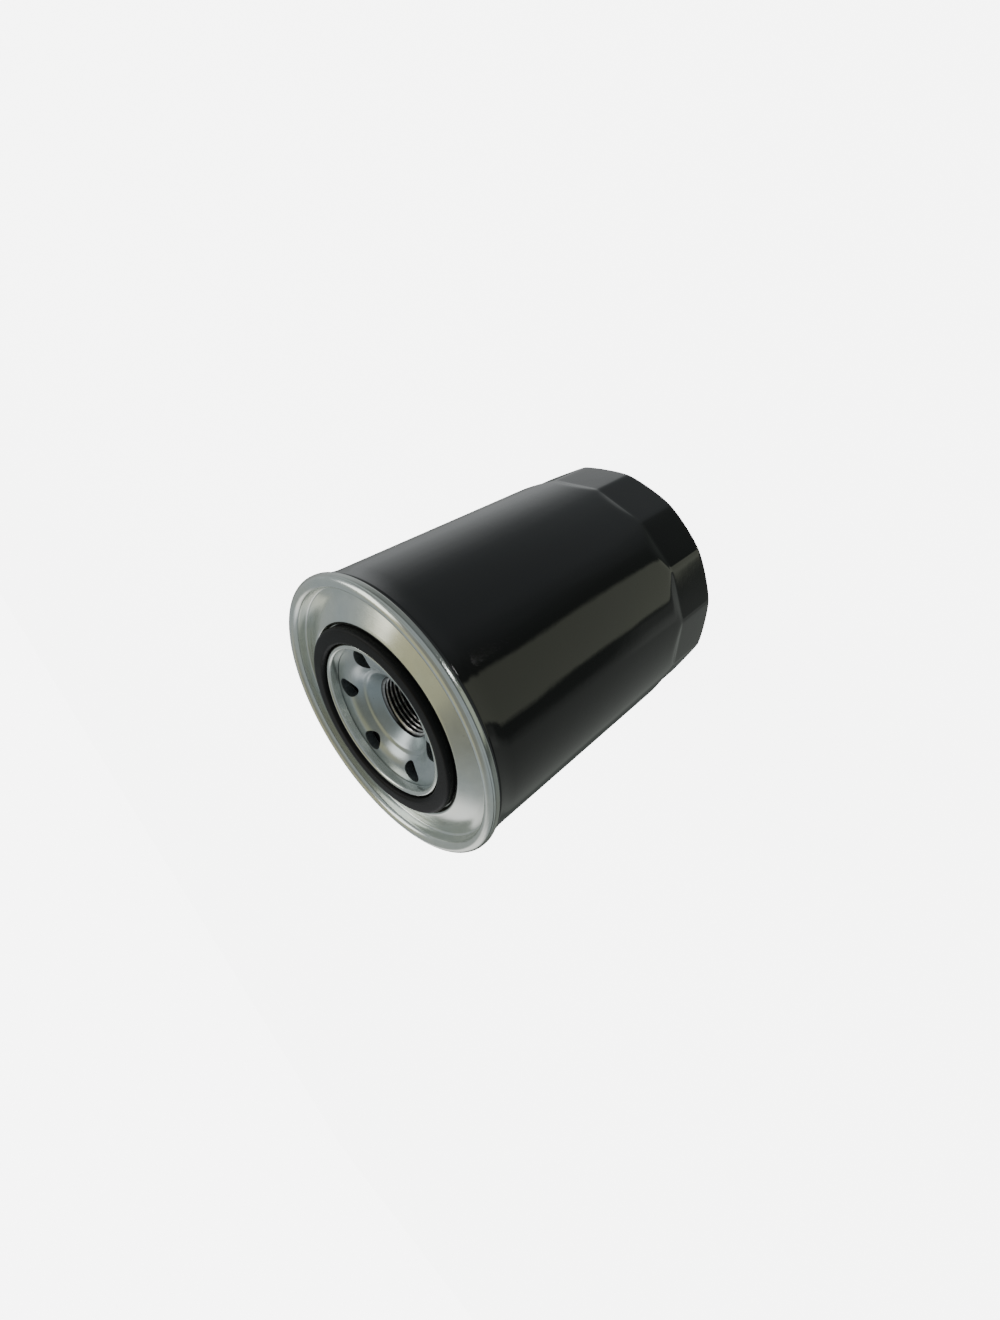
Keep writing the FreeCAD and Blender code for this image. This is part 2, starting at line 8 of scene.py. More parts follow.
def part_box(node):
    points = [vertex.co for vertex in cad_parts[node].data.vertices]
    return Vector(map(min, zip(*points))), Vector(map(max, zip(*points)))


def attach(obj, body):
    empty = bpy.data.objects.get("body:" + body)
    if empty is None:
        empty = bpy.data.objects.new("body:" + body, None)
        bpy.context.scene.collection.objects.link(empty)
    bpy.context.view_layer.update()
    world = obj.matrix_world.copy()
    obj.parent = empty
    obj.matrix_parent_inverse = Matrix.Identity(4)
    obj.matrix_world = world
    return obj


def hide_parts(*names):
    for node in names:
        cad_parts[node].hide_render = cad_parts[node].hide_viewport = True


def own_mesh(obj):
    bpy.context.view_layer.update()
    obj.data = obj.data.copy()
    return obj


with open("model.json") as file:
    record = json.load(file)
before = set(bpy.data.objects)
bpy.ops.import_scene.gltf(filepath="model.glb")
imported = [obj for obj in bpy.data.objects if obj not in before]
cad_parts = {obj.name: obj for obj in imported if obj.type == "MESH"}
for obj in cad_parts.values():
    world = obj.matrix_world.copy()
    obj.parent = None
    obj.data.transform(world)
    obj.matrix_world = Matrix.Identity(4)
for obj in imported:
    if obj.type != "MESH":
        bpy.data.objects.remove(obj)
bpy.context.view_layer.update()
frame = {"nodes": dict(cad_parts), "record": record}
print("frame loaded")

# Places and sizes that the frame gives, in metres.
lidLow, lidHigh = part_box("seaming_lid")
plateLow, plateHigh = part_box("base_plate")
gasketLow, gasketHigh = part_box("gasket")
canLow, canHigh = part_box("can")
threadMount = next(m for m in frame["record"]["mounts"] if m["name"] == "thread")
beadRadius = 0.0022
seamZ = lidHigh.z - beadRadius
seamRadius = lidHigh.x


# The camera stands above and to one side of the threaded end, rolled so that the
# filter's axis runs down to the left of the picture.
cameraView = {
    "place": (0.169296, 0.059558, 0.195177),
    "right": (0.645774, -0.340784, -0.683259),
    "up": (0.0, 0.894870, -0.446328),
    "lens": 17.0545,
}


def makeCamera():
    data = bpy.data.cameras.new("camera")
    data.lens = cameraView["lens"]
    data.sensor_width = 36
    data.clip_start = 0.01
    camera = bpy.data.objects.new("camera", data)
    bpy.context.scene.collection.objects.link(camera)
    right = Vector(cameraView["right"]).normalized()
    up = Vector(cameraView["up"]).normalized()
    back = right.cross(up)
    turn = Matrix((right, up, back)).transposed().to_4x4()
    camera.matrix_world = Matrix.Translation(cameraView["place"]) @ turn
    bpy.context.scene.camera = camera


makeCamera()


# Shared mesh code.

def walk(start, heading, moves, arcStep=8.0, lineStep=1.0):
    # A path in the (radius, z) plane: straight lengths and arcs that keep its heading,
    # sampled every arcStep degrees or lineStep metres. Gives points and headings.
    places = [np.array([start], float)]
    headings = [np.array([radians(heading)])]
    angle = radians(heading)
    here = np.array(start, float)
    for move in moves:
        if move[0] == "pivot":
            angle += radians(move[1])
            places.append(here[None, :])
            headings.append(np.array([angle]))
            continue
        if move[0] == "line":
            count = max(1, int(round(move[1] / lineStep)))
            share = np.arange(1, count + 1) / count
            run = here + np.outer(share * move[1], (cos(angle), sin(angle)))
            turned = np.full(count, angle)
        else:
            radius, sweep = move[1], radians(move[2])
            side = 1 if sweep > 0 else -1
            centre = here + side * radius * np.array((-sin(angle), cos(angle)))
            count = max(2, int(round(abs(move[2]) / arcStep)))
            turned = angle + sweep * np.arange(1, count + 1) / count
            run = centre + side * radius * np.stack((np.sin(turned), -np.cos(turned)), 1)
            angle += sweep
        places.append(run)
        headings.append(turned)
        here = run[-1]
    return np.concatenate(places), np.concatenate(headings)


def sheetOutline(path, headings, thickness):
    # Both faces of a bent sheet: the path, and the path moved to its right by the thickness.
    aside = np.stack((np.sin(headings), -np.cos(headings)), 1) * thickness
    return np.concatenate((path, (path + aside)[::-1]))


def dropRepeats(outline, closed):
    follow = np.roll(outline, -1, 0) if closed else np.vstack((outline[1:], outline[-1:] + 1))
    return outline[np.hypot(*(follow - outline).T) > 1e-7]


def addMesh(name, corners, faces, sharpAngle=32.0):
    mesh = bpy.data.meshes.new(name)
    mesh.from_pydata(corners.tolist(), [], faces)
    mesh.polygons.foreach_set("use_smooth", np.ones(len(mesh.polygons), bool))
    mesh.set_sharp_from_angle(angle=radians(sharpAngle))
    mesh.update()
    piece = bpy.data.objects.new(name, mesh)
    bpy.context.scene.collection.objects.link(piece)
    return piece


def gridFaces(rows, columns, closedRows):
    # Quads of a grid whose columns close on themselves, and its rows too when asked.
    row = np.arange(rows if closedRows else rows - 1)[:, None]
    column = np.arange(columns)[None, :]
    nextRow = (row + 1) % rows
    nextColumn = (column + 1) % columns
    quads = np.stack((row * columns + column, row * columns + nextColumn,
                      nextRow * columns + nextColumn, nextRow * columns + column), -1)
    return quads.reshape(-1, 4)


def facesOut(corners, quads):
    # Turns the quads round when the solid they bound has a negative volume.
    a, b, c, d = (corners[quads[:, k]] for k in range(4))
    volume = np.sum(np.cross(a, b) * c) + np.sum(np.cross(a, c) * d)
    return quads if volume > 0 else quads[:, ::-1]


def spin(name, outline, segments=192, firstTurn=0.0, reshape=None, sharpAngle=32.0):
    # A surface of revolution: each outline point (radius, z) goes to
    # (radius cos t, radius sin t, z) for each turn t. reshape may change radius and z.
    # An outline that starts and ends on the axis is closed by a vertex there.
    onAxis = abs(outline[0, 0]) < 1e-9
    outline = dropRepeats(outline, not onAxis)
    ends = outline[[0, -1]]
    if onAxis:
        outline = outline[1:-1]
    turns = firstTurn + np.arange(segments) * 2 * pi / segments
    radius = np.repeat(outline[:, :1], segments, 1)
    z = np.repeat(outline[:, 1:], segments, 1)
    if reshape:
        radius, z = reshape(radius, z, turns[None, :])
    corners = np.stack((radius * np.cos(turns), radius * np.sin(turns), z), -1).reshape(-1, 3)
    quads = facesOut(corners, gridFaces(len(outline), segments, not onAxis))
    faces = quads.tolist()
    if onAxis:
        corners = np.vstack((corners, [(0, 0, ends[0, 1]), (0, 0, ends[1, 1])]))
        column = np.arange(segments)
        follow = (column + 1) % segments
        last = (len(outline) - 1) * segments
        first = np.stack((np.full(segments, len(corners) - 2), follow, column), 1)
        final = np.stack((np.full(segments, len(corners) - 1), last + column, last + follow), 1)
        if quads[0, 0] > quads[0, 3] or quads[0, 0] != 0:
            first, final = first[:, ::-1], final[:, ::-1]
        faces += first.tolist() + final.tolist()
    return addMesh(name, corners, faces, sharpAngle)


# Shared material code.

def newMaterial(name):
    material = bpy.data.materials.new(name)
    material.use_nodes = True
    nodes = material.node_tree.nodes
    return material, nodes, material.node_tree.links, nodes["Principled BSDF"]


def objectPlace(nodes):
    return nodes.new("ShaderNodeTexCoord").outputs["Object"]


def noise(nodes, links, place, scale, detail=3.0, roughness=0.5, distortion=0.0):
    texture = nodes.new("ShaderNodeTexNoise")
    texture.inputs["Scale"].default_value = scale
    texture.inputs["Detail"].default_value = detail
    texture.inputs["Roughness"].default_value = roughness
    texture.inputs["Distortion"].default_value = distortion
    links.new(place, texture.inputs["Vector"])
    return texture.outputs["Fac"]


def ramp(nodes, links, source, stops):
    # A colour ramp: stops are (place, colour) with colour as three numbers or one.
    node = nodes.new("ShaderNodeValToRGB")
    node.color_ramp.elements.remove(node.color_ramp.elements[1])
    for index, (place, colour) in enumerate(stops):
        element = node.color_ramp.elements[0] if index == 0 else node.color_ramp.elements.new(place)
        element.position = place
        colour = colour if isinstance(colour, tuple) else (colour,) * 3
        element.color = (*colour, 1)
    links.new(source, node.inputs["Fac"])
    return node.outputs["Color"]


def maths(nodes, links, operation, first, second=None):
    node = nodes.new("ShaderNodeMath")
    node.operation = operation
    for socket, value in zip(node.inputs, (first, second)):
        if isinstance(value, (int, float)):
            socket.default_value = value
        elif value is not None:
            links.new(value, socket)
    return node.outputs[0]


def mixColour(nodes, links, share, first, second, blend="MIX"):
    node = nodes.new("ShaderNodeMix")
    node.data_type = "RGBA"
    node.blend_type = blend
    for name, value in (("Factor", share), ("A", first), ("B", second)):
        socket = node.inputs[name]
        if isinstance(value, tuple):
            socket.default_value = (*value, 1)
        elif isinstance(value, (int, float)):
            socket.default_value = value
        else:
            links.new(value, socket)
    return node.outputs["Result"]


def bump(nodes, links, height, strength, distance, under=None):
    node = nodes.new("ShaderNodeBump")
    node.inputs["Strength"].default_value = strength
    node.inputs["Distance"].default_value = distance
    links.new(height, node.inputs["Height"])
    if under is not None:
        links.new(under, node.inputs["Normal"])
    return node.outputs["Normal"]


def radiusAndHeight(nodes, links, place):
    # Distance from the filter's axis, and height, from the place on the object.
    parts = nodes.new("ShaderNodeSeparateXYZ")
    links.new(place, parts.inputs[0])
    across = maths(nodes, links, "MULTIPLY", parts.outputs["X"], parts.outputs["X"])
    along = maths(nodes, links, "MULTIPLY", parts.outputs["Y"], parts.outputs["Y"])
    return maths(nodes, links, "SQRT", maths(nodes, links, "ADD", across, along)), parts.outputs["Z"]


def ringNoise(nodes, links, radius, height, scale):
    # Marks left by turning: noise that changes with radius and height only.
    joined = nodes.new("ShaderNodeCombineXYZ")
    links.new(radius, joined.inputs["X"])
    links.new(height, joined.inputs["Y"])
    return noise(nodes, links, joined.outputs[0], scale, 4.0, 0.7)


# Can: drawn steel in gloss black enamel.
canShape = {
    "wallRadius": 0.0465,
    "sheet": 0.0005,
    "cornerRadius": 0.003,
    "panelRadius": 0.031,
    "panelDepth": 0.0012,
    "panelBend": 0.002,
    "panelSlope": 30.0,
    "flats": 15,
    "flatDepth": 0.0011,
    "flatHeight": 0.0205,
    "flatRunout": 15.0,
    "flatTurn": 8.0,
    "flatBlend": 0.00018,
    "flatFade": 0.007,
    "flatEnd": 0.008,
    "shoulderOverhang": 0.0008,
    "shoulderRadius": 0.0009,
    "flareRadius": 0.025,
    "foldRadius": 0.0009,
    "foldDrop": 0.0005,
    "seamGap": 0.0001,
    "lidSheet": 0.0005,
    "hookLift": 0.00035,
    "hookLength": 0.0007,
}
enamel = {
    "colour": (0.0045, 0.0048, 0.0050),
    "roughness": 0.07,
    "orangePeel": 0.05,
    "dust": 0.12,
    "dustColour": (0.10, 0.10, 0.095),
}


def makeCan():
    s = canShape
    slope = radians(s["panelSlope"])
    straight = (s["panelDepth"] - 2 * s["panelBend"] * (1 - cos(slope))) / sin(slope)
    panelWidth = 2 * s["panelBend"] * sin(slope) + straight * cos(slope)
    foldCentre = seamRadius - s["foldRadius"]
    foldZ = seamZ - s["foldDrop"]
    shoulderCentre = s["wallRadius"] + s["shoulderOverhang"] - s["shoulderRadius"]
    shoulderToFold = s["shoulderRadius"] + s["foldRadius"] + s["seamGap"]
    drop = sqrt(shoulderToFold ** 2 - (foldCentre - shoulderCentre) ** 2)
    reach = s["flareRadius"] + s["shoulderRadius"]
    rise = sqrt(reach ** 2 - (s["wallRadius"] + s["flareRadius"] - shoulderCentre) ** 2)
    flareAngle = degrees(asin(rise / reach))
    foldAngle = degrees(atan2(foldCentre - shoulderCentre, drop))
    hookBend = (s["lidSheet"] + 2 * s["seamGap"]) / 2
    moves = [("line", s["panelRadius"]),
             ("turn", s["panelBend"], -s["panelSlope"]),
             ("line", straight),
             ("turn", s["panelBend"], s["panelSlope"]),
             ("line", s["wallRadius"] - s["cornerRadius"] - s["panelRadius"] - panelWidth),
             ("turn", s["cornerRadius"], 90),
             ("line", s["flatHeight"] + s["flatEnd"] - s["cornerRadius"]),
             ("line", foldZ - drop - rise - s["flatHeight"] - s["flatEnd"]),
             ("turn", s["flareRadius"], -flareAngle),
             ("turn", s["shoulderRadius"], 90 + flareAngle - foldAngle),
             ("turn", s["foldRadius"] + s["seamGap"], foldAngle - 90),
             ("line", s["foldDrop"] + s["hookLift"]),
             ("turn", hookBend, -180),
             ("line", s["hookLength"])]
    panel, panelHeadings = walk((0, s["panelDepth"]), 0, moves[:6], 7.5, 0.005)
    flats, flatsHeadings = walk(panel[-1], 90, moves[6:7], 7.5, 0.0008)
    wall, wallHeadings = walk(flats[-1], 90, moves[7:], 4.0, 0.05)
    path = np.concatenate((panel, flats, wall))
    headings = np.concatenate((panelHeadings, flatsHeadings, wallHeadings))
    outline = sheetOutline(path, headings, -s["sheet"])
    outline[-1, 0] = 0

    def pressFlats(radius, z, turns):
        # Each flat is a plane: radius = apothem / cos(angle from the flat's middle). Above the
        # flats the apothem grows, and a soft minimum rounds the edges.
        pitch = 2 * pi / s["flats"]
        fromMiddle = (turns - radians(s["flatTurn"])) % pitch - pitch / 2
        above = np.maximum(z - s["flatHeight"], 0)
        inner = np.arange(len(z))[:, None] >= len(z) // 2
        apothem = s["wallRadius"] - s["flatDepth"] - inner * s["sheet"]
        apothem = apothem + above * tan(radians(s["flatRunout"]))
        flat = apothem / np.cos(fromMiddle)
        blend = s["flatBlend"]
        gap = np.clip((radius - flat) / blend, -40, 40)
        pressed = radius - blend * np.log1p(np.exp(gap))
        low = z < s["flatHeight"] + s["flatFade"]
        return np.where(low, pressed, radius), z

    can = spin("canShell", outline, 300, radians(s["flatTurn"]), pressFlats, 40.0)
    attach(can, "canister")
    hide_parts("can")
    return can


def enamelMaterial():
    material, nodes, links, surface = newMaterial("black enamel")
    place = objectPlace(nodes)
    patches = noise(nodes, links, place, 35, 4)
    specks = noise(nodes, links, place, 900, 2)
    dust = maths(nodes, links, "MULTIPLY", ramp(nodes, links, specks, [(0.62, 0.0), (0.72, 1.0)]),
                 ramp(nodes, links, patches, [(0.45, 0.0), (0.75, enamel["dust"])]))
    colour = mixColour(nodes, links, dust, enamel["colour"], enamel["dustColour"])
    links.new(colour, surface.inputs["Base Color"])
    gloss = maths(nodes, links, "MULTIPLY_ADD", patches, 0.05)
    gloss.node.inputs[2].default_value = enamel["roughness"] - 0.02
    links.new(gloss, surface.inputs["Roughness"])
    peel = noise(nodes, links, place, 420, 2, 0.4)
    waves = noise(nodes, links, place, 60, 2, 0.4)
    soft = bump(nodes, links, waves, enamel["orangePeel"], 0.002)
    links.new(bump(nodes, links, peel, enamel["orangePeel"], 0.0003, soft), surface.inputs["Normal"])
    surface.inputs["Coat Weight"].default_value = 0.6
    surface.inputs["Coat Roughness"].default_value = 0.04
    return material


# Seaming lid: zinc-plated sheet, rolled over the can's edge.
lidShape = {
    "sheet": 0.0005,
    "channelDepth": 0.0024,
    "channelFillet": 0.0008,
    "channelFlat": 0.0005,
    "coneFoot": 0.005,
    "lipRadius": 0.0008,
    "lipHeight": 0.001,
    "grooveFillet": 0.0005,
    "grooveInnerGap": 0.0003,
    "grooveOuterGap": 0.0006,
    "collarRadius": 0.00095,
    "collarHeight": 0.0021,
    "collarLean": 11.0,
    "collarGap": 0.00015,
    "foldRadius": 0.0009,
    "foldDrop": 0.0005,
    "coverHook": 0.0009,
    "rollerMark": 0.00007,
    "rollerMarkAngle": 28.0,
    "rollerMarkWidth": 5.0,
}
zinc = {
    "colour": (0.60, 0.65, 0.645),
    "chromate": (0.65, 0.67, 0.60),
    "roughness": 0.20,
    "roughSpread": 0.06,
    "turningMarks": 0.035,
    "grain": 0.012,
    "specks": 0.35,
}


def makeSeamingLid():
    s = lidShape
    plateTop = plateHigh.z
    grooveFloor = gasketLow.z
    grooveOuter = gasketHigh.x + s["grooveOuterGap"]
    grooveInner = gasketInner() - s["grooveInnerGap"]
    chuck = seamRadius - 2 * beadRadius
    lip = (grooveOuter + s["lipRadius"], seamZ + s["lipHeight"] - s["lipRadius"])
    foot = (chuck - s["channelFillet"] - s["channelFlat"], seamZ - s["channelDepth"] + s["coneFoot"])
    gapR, gapZ = foot[0] - lip[0], foot[1] - lip[1]
    slope = asin((s["lipRadius"] + s["coneFoot"]) / hypot(gapR, gapZ)) - atan2(gapZ, gapR)
    lean = radians(s["collarLean"])
    hem = (grooveInner - s["collarRadius"], seamZ + s["collarHeight"] - s["collarRadius"])
    hemStart = (hem[0] - s["collarRadius"] * cos(lean), hem[1] + s["collarRadius"] * sin(lean))
    wall = (hemStart[1] - plateTop - s["collarGap"]) / cos(lean)
    start = (hemStart[0] - wall * sin(lean), plateTop + s["collarGap"])
    before = [("line", wall),
              ("turn", s["collarRadius"], s["collarLean"] - 180),
              ("line", hem[1] - grooveFloor - s["grooveFillet"]),
              ("turn", s["grooveFillet"], 90),
              ("line", grooveOuter - grooveInner - 2 * s["grooveFillet"]),
              ("turn", s["grooveFillet"], 90),
              ("line", lip[1] - grooveFloor - s["grooveFillet"]),
              ("turn", s["lipRadius"], -90 - degrees(slope)),
              ("line", gapR * cos(slope) - gapZ * sin(slope)),
              ("turn", s["coneFoot"], degrees(slope)),
              ("line", s["channelFlat"]),
              ("turn", s["channelFillet"], 90),
              ("line", s["channelDepth"] - s["channelFillet"])]
    path, headings = walk(start, 90 - s["collarLean"], before, 8.0, 0.0009)
    bead, beadHeadings = walk(path[-1], 90, [("turn", beadRadius, -180)], 3.0)
    fromTop = np.degrees(beadHeadings)
    mark = s["rollerMark"] * np.exp(-((fromTop + 90 - s["rollerMarkAngle"]) / s["rollerMarkWidth"]) ** 2)
    bead = bead + np.stack((np.sin(beadHeadings), -np.cos(beadHeadings)), 1) * mark[:, None]
    after, afterHeadings = walk(bead[-1], -90, [("line", s["foldDrop"]), ("turn", s["foldRadius"], -180),
                                                ("line", s["coverHook"])], 12.0, 0.0005)
    path = np.concatenate((path, bead, after))
    headings = np.concatenate((headings, beadHeadings, afterHeadings))
    lid = spin("lidSheet", sheetOutline(path, headings, s["sheet"]), 256)
    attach(lid, "canister")
    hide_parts("seaming_lid", "spot_welds")
    return lid


def zincMaterial(name, look):
    # Zinc plate: a warm chromate tint in broad patches, turning marks round the axis, specks.
    material, nodes, links, surface = newMaterial(name)
    place = objectPlace(nodes)
    radius, height = radiusAndHeight(nodes, links, place)
    broad = noise(nodes, links, place, 28, 3, 0.5, 0.4)
    fine = noise(nodes, links, place, 260, 4, 0.6)
    specks = noise(nodes, links, place, 700, 2)
    tint = ramp(nodes, links, broad, [(0.36, 0.0), (0.66, 1.0)])
    colour = mixColour(nodes, links, tint, look["colour"], look["chromate"])
    mottle = ramp(nodes, links, fine, [(0.3, 0.94), (0.7, 1.02)])
    colour = mixColour(nodes, links, 1.0, colour, mottle, "MULTIPLY")
    spots = ramp(nodes, links, specks, [(0.745, 0.0), (0.80, look["specks"])])
    links.new(mixColour(nodes, links, spots, colour, (0.13, 0.13, 0.12)), surface.inputs["Base Color"])
    surface.inputs["Metallic"].default_value = 0.92
    rough = maths(nodes, links, "MULTIPLY_ADD", fine, look["roughSpread"])
    rough.node.inputs[2].default_value = look["roughness"] - look["roughSpread"] / 2
    links.new(rough, surface.inputs["Roughness"])
    rings = ringNoise(nodes, links, radius, height, 2200)
    grain = bump(nodes, links, fine, look["grain"], 0.0004)
    links.new(bump(nodes, links, rings, look["turningMarks"], 0.0003, grain), surface.inputs["Normal"])
    return material


# Gasket: moulded rubber, standing proud of its groove.
gasketShape = {
    "width": 0.0053,
    "corner": 0.0011,
    "footCorner": 0.0006,
    "crown": 0.00006,
    "waviness": 0.00003,
}
rubber = {
    "colour": (0.007, 0.007, 0.0075),
    "dust": (0.022, 0.022, 0.021),
    "roughness": 0.44,
    "grain": 0.25,
}


def gasketInner():
    return gasketHigh.x - gasketShape["width"]


def makeGasket():
    s = gasketShape
    side = gasketHigh.z - gasketLow.z - s["footCorner"] - s["corner"]
    moves = [("line", s["width"] - 2 * s["footCorner"]), ("turn", s["footCorner"], 90), ("line", side),
             ("turn", s["corner"], 90), ("line", s["width"] - 2 * s["corner"]),
             ("turn", s["corner"], 90), ("line", side), ("turn", s["footCorner"], 90)]
    outline, headings = walk((gasketInner() + s["footCorner"], gasketLow.z), 0, moves, 9.0, 0.0006)
    middle = gasketInner() + s["width"] / 2

    def settle(radius, z, turns):
        # The flat top is crowned a little less at its edges, and the ring is a little uneven.
        top = np.clip((z - gasketLow.z) / (gasketHigh.z - gasketLow.z), 0, 1) ** 4
        across = ((radius - middle) / (s["width"] / 2)) ** 2
        wave = s["waviness"] * (np.sin(5 * turns) + np.sin(8 * turns + 1)) / 2
        return radius + wave * top, z - s["crown"] * across * top

    gasket = spin("gasketRing", outline, 224, 0.0, settle)
    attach(gasket, "canister")
    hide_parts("gasket")
    return gasket


def rubberMaterial(name, look):
    material, nodes, links, surface = newMaterial(name)
    place = objectPlace(nodes)
    radius, height = radiusAndHeight(nodes, links, place)
    patches = noise(nodes, links, place, 80, 4)
    grain = noise(nodes, links, place, 1500, 3, 0.6)
    dusty = ramp(nodes, links, patches, [(0.45, 0.0), (0.8, 0.55)])
    links.new(mixColour(nodes, links, dusty, look["colour"], look["dust"]), surface.inputs["Base Color"])
    rough = maths(nodes, links, "MULTIPLY_ADD", patches, 0.22)
    rough.node.inputs[2].default_value = look["roughness"] - 0.08
    links.new(rough, surface.inputs["Roughness"])
    surface.inputs["Specular IOR Level"].default_value = 0.14
    lines = ringNoise(nodes, links, radius, height, 1400)
    soft = bump(nodes, links, lines, 0.12, 0.0002)
    links.new(bump(nodes, links, grain, look["grain"], 0.0001, soft), surface.inputs["Normal"])
    return material


# Base plate: dished steel with six oil inlets and a tapped neck.
plateShape = {
    "thickness": 0.0032,
    "edgeRadius": 0.0006,
    "neckFillet": 0.004,
    "neckWall": 0.0036,
    "neckEnd": 0.0008,
    "mouthDepth": 0.00675,
    "dishBend": 0.006,
    "dishSlope": 45.0,
    "dishLength": 0.0012,
    "stepSlope": 18.0,
    "stepLength": 0.0005,
    "stepBend": 0.0015,
    "funnelSlope": 50.0,
    "inlets": 6,
    "inletRadius": 0.0035,
    "inletTurn": 30.0,
    "inletInset": 0.0007,
    "threadPitch": 0.0015,
    "threadRadius": 0.011,
    "crestShare": 0.25,
    "rootShare": 0.125,
    "rowsPerPitch": 18,
    "inletSides": 48,
}
plateZinc = {
    "colour": (0.36, 0.42, 0.44),
    "chromate": (0.43, 0.46, 0.45),
    "roughness": 0.30,
    "roughSpread": 0.10,
    "turningMarks": 0.04,
    "grain": 0.03,
    "specks": 0.3,
}


def makeBasePlate():
    s = plateShape
    boreRadius = threadMount["dims"]["r_mm"] / 1000
    depth = s["threadRadius"] - boreRadius
    boreTop = threadMount["pos_m"][2]
    boreLength = threadMount["dims"]["length_mm"] / 1000
    neckBottom = boreTop - boreLength - depth
    neckRadius = s["threadRadius"] + s["neckWall"]
    dish, step, funnel = (radians(s[k]) for k in ("dishSlope", "stepSlope", "funnelSlope"))
    funnelLength = (s["mouthDepth"] - s["dishBend"] * (1 - cos(dish)) - s["dishLength"] * sin(dish)
                    - s["stepBend"] * (2 * cos(step) - cos(dish) - cos(funnel))
                    - s["stepLength"] * sin(step)) / sin(funnel)
    dishWidth = (s["dishBend"] * sin(dish) + s["dishLength"] * cos(dish)
                 + s["stepBend"] * (sin(dish) + sin(funnel) - 2 * sin(step))
                 + s["stepLength"] * cos(step) + funnelLength * cos(funnel))
    dishRadius = s["threadRadius"] + dishWidth
    plateBottom = plateHigh.z - s["thickness"]
    edge = s["edgeRadius"]
    moves = [("line", depth * sqrt(2)),
             ("pivot", s["funnelSlope"] - 45),
             ("line", funnelLength),
             ("turn", s["stepBend"], s["stepSlope"] - s["funnelSlope"]),
             ("line", s["stepLength"]),
             ("turn", s["stepBend"], s["dishSlope"] - s["stepSlope"]),
             ("line", s["dishLength"]),
             ("turn", s["dishBend"], -s["dishSlope"]),
             ("line", plateHigh.x - edge - dishRadius),
             ("turn", edge, -90),
             ("line", s["thickness"] - 2 * edge),
             ("turn", edge, -90),
             ("line", plateHigh.x - edge - neckRadius - s["neckFillet"]),
             ("turn", s["neckFillet"], 90),
             ("line", plateBottom - s["neckFillet"] - neckBottom - s["neckEnd"]),
             ("turn", s["neckEnd"], -90),
             ("line", neckRadius - s["neckEnd"] - boreRadius - depth),
             ("pivot", -45),
             ("line", depth * sqrt(2))]
    around, _ = walk((boreRadius, boreTop), 45, moves, 5.0, 0.0008)
    rows = int(boreLength / s["threadPitch"] * s["rowsPerPitch"])
    boreZ = boreTop - boreLength + boreLength * np.arange(rows) / rows
    bore = np.stack((np.full(rows, boreRadius), boreZ), 1)
    outline = np.concatenate((around, bore[1:]))

    def cutThread(radius, z, turns):
        # A right-hand 60 degree thread: the groove's depth goes by how far
        # (z / pitch - turn) is from the groove's middle.
        phase = (z / s["threadPitch"] - turns / (2 * pi)) % 1
        fromGroove = np.abs(phase - 0.5) * 2
        share = np.clip((1 - s["crestShare"] - fromGroove) / (1 - s["crestShare"] - s["rootShare"]), 0, 1)
        inBore = (radius < s["threadRadius"] + 1e-6) & (z < boreTop + depth + 1e-6)
        return np.where(inBore, np.maximum(radius, boreRadius + depth * share), radius), z

    plate = spin("tappedPlate", outline, 192, 0.0, cutThread, 28.0)
    cutInlets(plate, dishRadius - s["inletInset"])
    plate.data.materials.append(materials["plate_zinc"])
    plate.data.materials.append(threadMaterial())
    centres = np.zeros(len(plate.data.polygons) * 3)
    plate.data.polygons.foreach_get("center", centres)
    centres = centres.reshape(-1, 3)
    nearAxis = np.hypot(centres[:, 0], centres[:, 1]) < s["threadRadius"] + 0.0002
    inBore = nearAxis & (centres[:, 2] < boreTop + depth)
    plate.data.polygons.foreach_set("material_index", inBore.astype(np.int32))
    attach(plate, "canister")
    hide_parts("base_plate")
    return plate


def cutInlets(plate, ringRadius):
    # Upright round cutters through the plate, taken out of it together.
    s = plateShape
    sides = s["inletSides"]
    side = np.arange(sides) * 2 * pi / sides
    corners = []
    faces = []
    for index in range(s["inlets"]):
        turn = radians(s["inletTurn"]) + index * 2 * pi / s["inlets"]
        x = ringRadius * cos(turn) + s["inletRadius"] * np.cos(side)
        y = ringRadius * sin(turn) + s["inletRadius"] * np.sin(side)
        base = len(corners) * sides
        for z in (plateLow.z + 0.004, plateHigh.z + 0.002):
            corners.append(np.stack((x, y, np.full(sides, z)), 1))
        low = base + np.arange(sides)
        follow = base + (np.arange(sides) + 1) % sides
        faces += np.stack((low, follow, follow + sides, low + sides), 1).tolist()
        faces += [low[::-1].tolist(), (low + sides).tolist()]
    cutter = addMesh("inletCutter", np.concatenate(corners), faces)
    cut = plate.modifiers.new("inlets", "BOOLEAN")
    cut.operation = "DIFFERENCE"
    cut.solver = "EXACT"
    cut.object = cutter
    bpy.context.view_layer.update()
    done = bpy.data.meshes.new_from_object(plate.evaluated_get(bpy.context.evaluated_depsgraph_get()))
    plate.modifiers.clear()
    plate.data = done
    done.name = plate.name
    done.set_sharp_from_angle(angle=radians(28))
    bpy.data.objects.remove(cutter)


